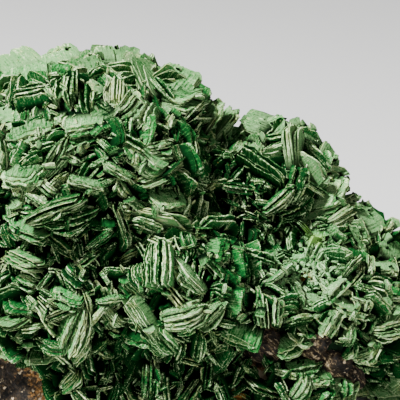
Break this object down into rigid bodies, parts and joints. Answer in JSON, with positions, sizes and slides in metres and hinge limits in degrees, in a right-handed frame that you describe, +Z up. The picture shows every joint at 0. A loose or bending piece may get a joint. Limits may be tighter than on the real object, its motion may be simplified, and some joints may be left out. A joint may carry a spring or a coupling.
{
  "type": "torbernite mineral specimen",
  "caption": "Hand specimen of torbernite: a crust of standing square green plates over a lump of brown host rock with a flat base.",
  "frame": {"origin": "middle of the flat base that the specimen rests on", "axes": "+Z up, +X along the specimen's length to the viewer's right, -Y towards the crystal-covered front"},
  "size_m": [0.0876, 0.0539, 0.0559],
  "materials": {
    "matrix_rock": "rough granular broken rock, brown and ochre",
    "torbernite": "satin to pearly green crystal plates, paler on their edges"
  },
  "bodies": {
    "root": {"matrix_rock": "matrix_rock", "crystal_crust": "torbernite", "left_end_rosette": "torbernite", "back_left_rosette": "torbernite", "back_right_rosette": "torbernite", "right_end_rosette": "torbernite"}
  },
  "joints": []
}
